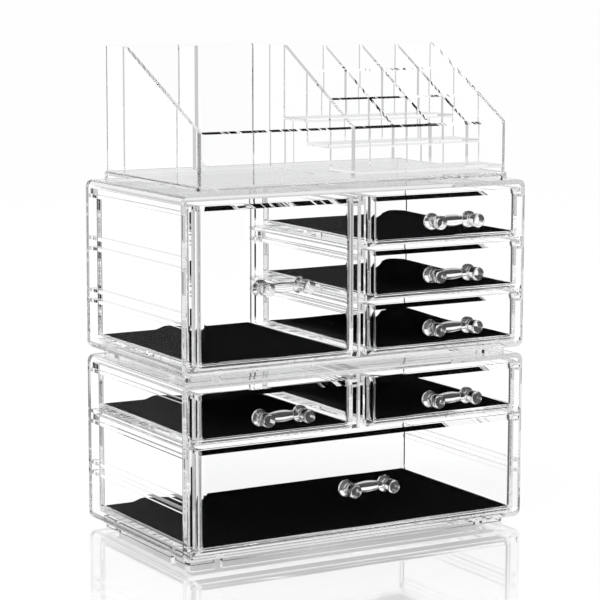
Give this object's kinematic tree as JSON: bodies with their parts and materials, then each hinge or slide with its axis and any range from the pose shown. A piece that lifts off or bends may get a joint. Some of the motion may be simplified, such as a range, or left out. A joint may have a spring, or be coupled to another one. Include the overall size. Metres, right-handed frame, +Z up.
{
  "type": "makeup organizer",
  "caption": "Clear stacking makeup organizer: two cases of sliding, felt-lined drawers with bar handles, under a loose tray with lipstick cells and large compartments.",
  "frame": {"origin": "bottom centre of the whole organizer with all drawers shut, handles included", "axes": "+Z up, +X to the right, drawers open towards -Y"},
  "size_m": [0.24, 0.149, 0.3002],
  "materials": {
    "case": "clear polished",
    "drawer": "clear polished",
    "tray": "clear polished",
    "handle": "clear polished",
    "felt": "black felt"
  },
  "bodies": {
    "lower_case": {"lower_case_shell": "case", "lower_case_divider": "case"},
    "upper_case": {"upper_case_shell": "case", "upper_case_divider": "case"},
    "tray": {"tray_body": "tray", "tray_lipstick_insert": "tray"},
    "tall_drawer": {"tall_drawer_box": "drawer", "tall_drawer_handle": "handle", "tall_drawer_pad": "felt"},
    "small_drawer_top": {"small_drawer_top_box": "drawer", "small_drawer_top_handle": "handle", "small_drawer_top_pad": "felt"},
    "small_drawer_middle": {"small_drawer_middle_box": "drawer", "small_drawer_middle_handle": "handle", "small_drawer_middle_pad": "felt"},
    "small_drawer_bottom": {"small_drawer_bottom_box": "drawer", "small_drawer_bottom_handle": "handle", "small_drawer_bottom_pad": "felt"},
    "flat_drawer_left": {"flat_drawer_left_box": "drawer", "flat_drawer_left_handle": "handle", "flat_drawer_left_pad": "felt"},
    "flat_drawer_right": {"flat_drawer_right_box": "drawer", "flat_drawer_right_handle": "handle", "flat_drawer_right_pad": "felt"},
    "wide_drawer": {"wide_drawer_box": "drawer", "wide_drawer_handle": "handle", "wide_drawer_pad": "felt"}
  },
  "joints": [
    {"name": "upper_case_lift", "type": "slide", "parent": "lower_case", "child": "upper_case", "axis": [0, 0, 1], "range_m": [0, 0.15]},
    {"name": "tray_lift", "type": "slide", "parent": "upper_case", "child": "tray", "axis": [0, 0, 1], "range_m": [0, 0.12]},
    {"name": "tall_drawer_slide", "type": "slide", "parent": "upper_case", "child": "tall_drawer", "axis": [0, -1, 0], "range_m": [0, 0.11]},
    {"name": "small_drawer_top_slide", "type": "slide", "parent": "upper_case", "child": "small_drawer_top", "axis": [0, -1, 0], "range_m": [0, 0.11]},
    {"name": "small_drawer_middle_slide", "type": "slide", "parent": "upper_case", "child": "small_drawer_middle", "axis": [0, -1, 0], "range_m": [0, 0.11]},
    {"name": "small_drawer_bottom_slide", "type": "slide", "parent": "upper_case", "child": "small_drawer_bottom", "axis": [0, -1, 0], "range_m": [0, 0.11]},
    {"name": "flat_drawer_left_slide", "type": "slide", "parent": "lower_case", "child": "flat_drawer_left", "axis": [0, -1, 0], "range_m": [0, 0.11]},
    {"name": "flat_drawer_right_slide", "type": "slide", "parent": "lower_case", "child": "flat_drawer_right", "axis": [0, -1, 0], "range_m": [0, 0.11]},
    {"name": "wide_drawer_slide", "type": "slide", "parent": "lower_case", "child": "wide_drawer", "axis": [0, -1, 0], "range_m": [0, 0.11]}
  ]
}
